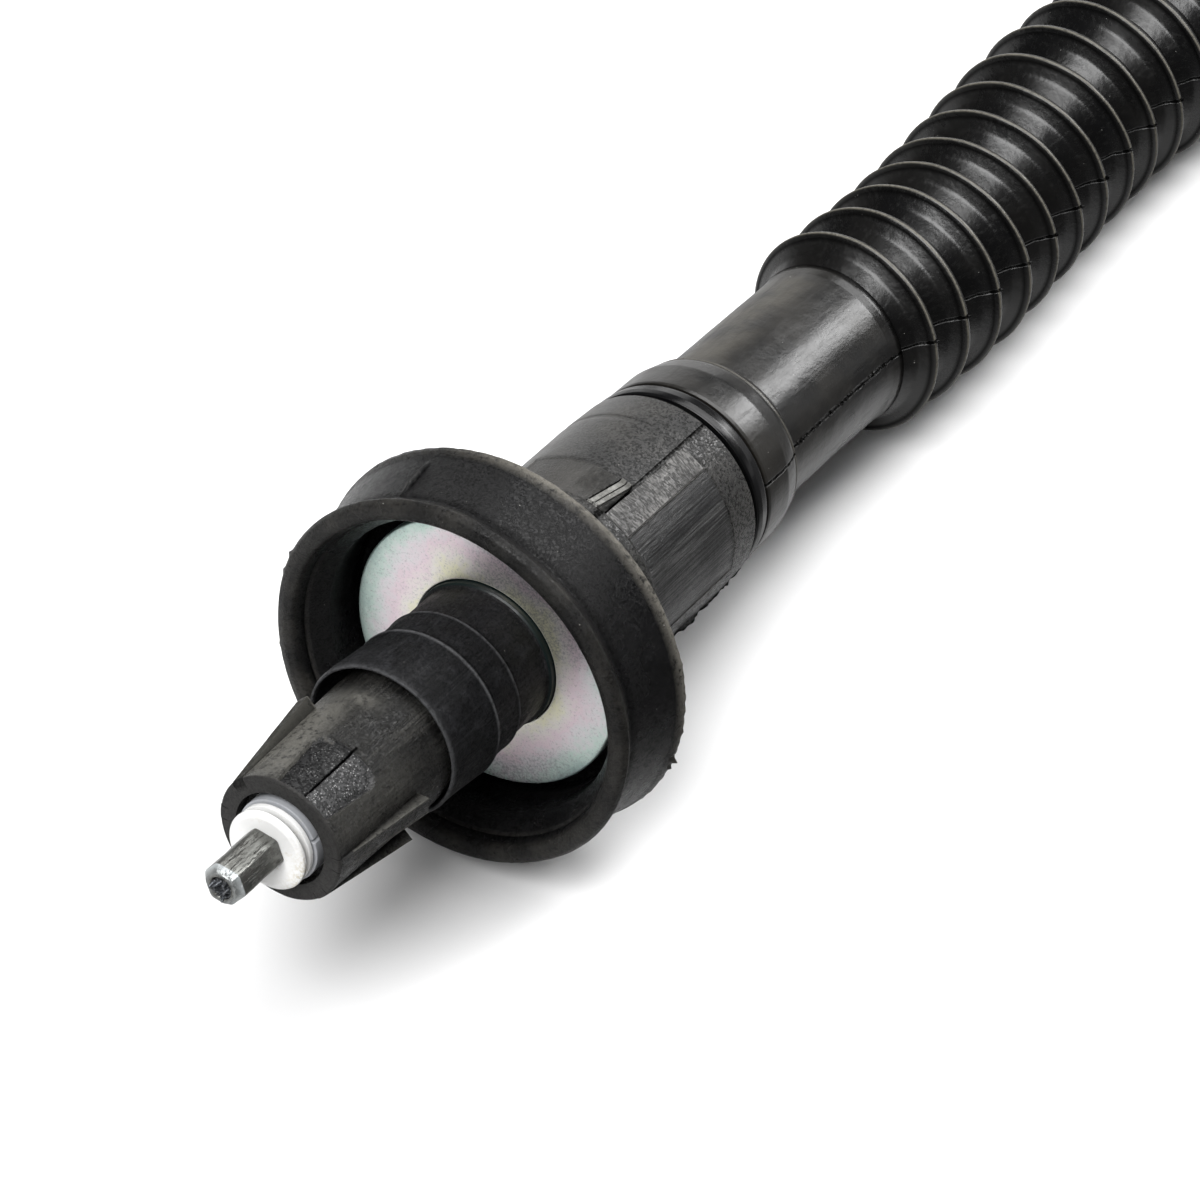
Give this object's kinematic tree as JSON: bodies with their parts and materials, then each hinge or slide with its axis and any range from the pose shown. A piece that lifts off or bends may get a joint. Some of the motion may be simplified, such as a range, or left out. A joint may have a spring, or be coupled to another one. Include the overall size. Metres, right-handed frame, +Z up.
{
  "type": "self-adjusting clutch cable end",
  "caption": "Lever end of a self-adjusting control cable: crimped wire, snap-in nose, rubber cup with washer, two-shell toothed adjuster housing and ribbed bellows.",
  "frame": {"origin": "middle of the footprint at floor level, with the part lying on its cup and its bellows", "axes": "+Z up; +X from the crimped wire tip towards the bellows, as the axis runs seen from above; +Y to the left of that way"},
  "size_m": [0.3252, 0.058, 0.056],
  "materials": {
    "rubber": "matt moulded rubber, worn a little grey",
    "boot_rubber": "smooth ribbed rubber with a soft sheen",
    "nylon": "dark glass-filled nylon, grainy with brushed panels",
    "nose_nylon": "dark glass-filled nylon",
    "zinc": "zinc-plated pressed steel with pale pink and green tints",
    "white_acetal": "white acetal",
    "grey_acetal": "translucent grey acetal",
    "black_acetal": "black acetal, lightly glossy",
    "natural_acetal": "natural acetal",
    "steel": "bright crimped steel",
    "spring_steel": "oiled spring steel",
    "wire_steel": "stranded steel wire",
    "conduit_black": "black plastic over a wound steel liner"
  },
  "bodies": {
    "housing": {"housing_shell_right": "nylon", "housing_shell_left": "nylon", "rubber_cup": "rubber", "thrust_washer": "zinc", "stepped_sleeve": "rubber", "retaining_ring": "black_acetal", "jaw_cage": "black_acetal", "rod_guide": "black_acetal", "bellows": "boot_rubber"},
    "nose": {"nose_tube": "nose_nylon", "guide_bush": "white_acetal", "bush_collar": "grey_acetal", "liner_tube": "natural_acetal", "cam_ring": "black_acetal", "release_spring": "spring_steel"},
    "jaw_1": {"lock_jaw_1": "steel"},
    "jaw_2": {"lock_jaw_2": "steel"},
    "jaw_3": {"lock_jaw_3": "steel"},
    "rod": {"toothed_rod": "steel", "spring_seat": "black_acetal", "adjuster_spring": "spring_steel", "conduit": "conduit_black", "rear_cap": "black_acetal", "core_wire_rear": "wire_steel"},
    "core": {"crimp_sleeve": "steel", "core_wire": "wire_steel"}
  },
  "joints": [
    {"name": "nose_slide", "type": "slide", "parent": "housing", "child": "nose", "axis": [0.9951, 0, -0.0992], "range_m": [0, 0.004], "stiffness_N_per_m": 900, "springref_m": -0.006, "deforming": ["release_spring"]},
    {"name": "jaw_1_slide", "type": "slide", "parent": "housing", "child": "jaw_1", "axis": [-0.0992, 0, -0.9951], "range_m": [0, 0.0009]},
    {"name": "jaw_2_slide", "type": "slide", "parent": "housing", "child": "jaw_2", "axis": [0.0496, 0.866, 0.4975], "range_m": [0, 0.0009]},
    {"name": "jaw_3_slide", "type": "slide", "parent": "housing", "child": "jaw_3", "axis": [0.0496, -0.866, 0.4975], "range_m": [0, 0.0009]},
    {"name": "rod_slide", "type": "slide", "parent": "housing", "child": "rod", "axis": [-0.9951, 0, 0.0992], "range_m": [0, 0.016], "stiffness_N_per_m": 700, "springref_m": -0.02, "deforming": ["adjuster_spring", "bellows", "core_wire_rear", "conduit"]},
    {"name": "core_slide", "type": "slide", "parent": "housing", "child": "core", "axis": [-0.9951, 0, 0.0992], "range_m": [0, 0.03]}
  ],
  "couplings": [
    {"joint": "jaw_1_slide", "follows": "nose_slide", "ratio": 0.225},
    {"joint": "jaw_2_slide", "follows": "nose_slide", "ratio": 0.225},
    {"joint": "jaw_3_slide", "follows": "nose_slide", "ratio": 0.225}
  ]
}
